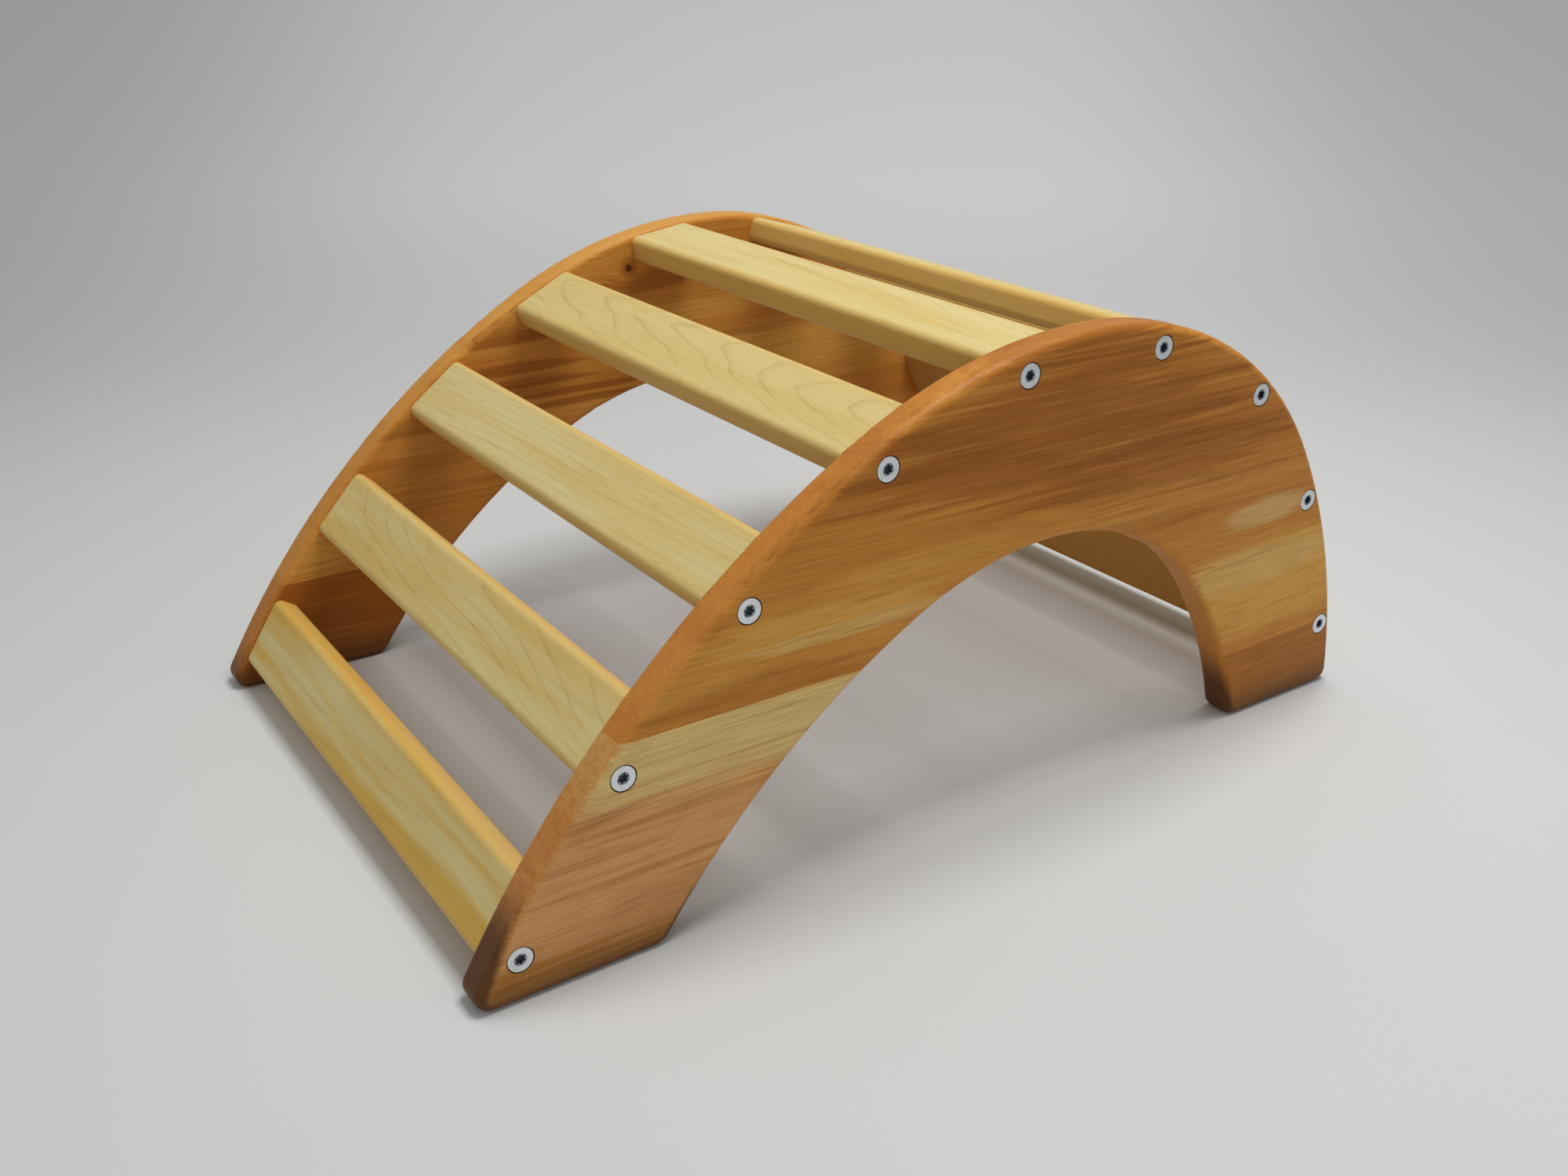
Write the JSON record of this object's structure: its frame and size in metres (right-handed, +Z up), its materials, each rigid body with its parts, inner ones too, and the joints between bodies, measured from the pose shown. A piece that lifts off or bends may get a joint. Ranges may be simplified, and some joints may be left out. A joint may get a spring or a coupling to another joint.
{
  "type": "wooden backbend bench",
  "caption": "Low arched wooden bench for backbends: two curved side panels with an arch opening below, joined by rounded cross slats.",
  "frame": {"origin": "on the floor, in the middle of the bench's length and width", "axes": "+X along the bench from the long gentle front slope to the steep rear one, +Y across it from the near panel to the far one, +Z up"},
  "size_m": [0.7082, 0.472, 0.316],
  "materials": {
    "near_panel_wood": "clear-lacquered softwood boards, warm mid brown with streaks",
    "far_panel_wood": "clear-lacquered softwood boards, darker brown with slanted streaks",
    "slat_wood": "clear-lacquered pale strip, straight grain",
    "dowel_wood": "plain beech",
    "screw_steel": "bright zinc plating, satin"
  },
  "bodies": {
    "root": {"near_crown_board": "near_panel_wood", "near_front_leg_board": "near_panel_wood", "near_rear_leg_board": "near_panel_wood", "far_crown_board": "far_panel_wood", "far_front_leg_board": "far_panel_wood", "far_rear_leg_board": "far_panel_wood", "slat_1": "slat_wood", "slat_2": "slat_wood", "slat_3": "slat_wood", "slat_4": "slat_wood", "slat_5": "slat_wood", "slat_6": "slat_wood", "slat_7": "slat_wood", "slat_8": "slat_wood", "slat_9": "slat_wood", "slat_1_screws": "screw_steel", "slat_2_screws": "screw_steel", "slat_3_screws": "screw_steel", "slat_4_screws": "screw_steel", "slat_5_screws": "screw_steel", "slat_6_screws": "screw_steel", "slat_7_screws": "screw_steel", "slat_8_screws": "screw_steel", "slat_9_screws": "screw_steel", "slat_1_dowels": "dowel_wood", "slat_2_dowels": "dowel_wood", "slat_3_dowels": "dowel_wood", "slat_4_dowels": "dowel_wood", "slat_5_dowels": "dowel_wood", "slat_6_dowels": "dowel_wood", "slat_7_dowels": "dowel_wood", "slat_8_dowels": "dowel_wood", "slat_9_dowels": "dowel_wood"}
  },
  "joints": []
}
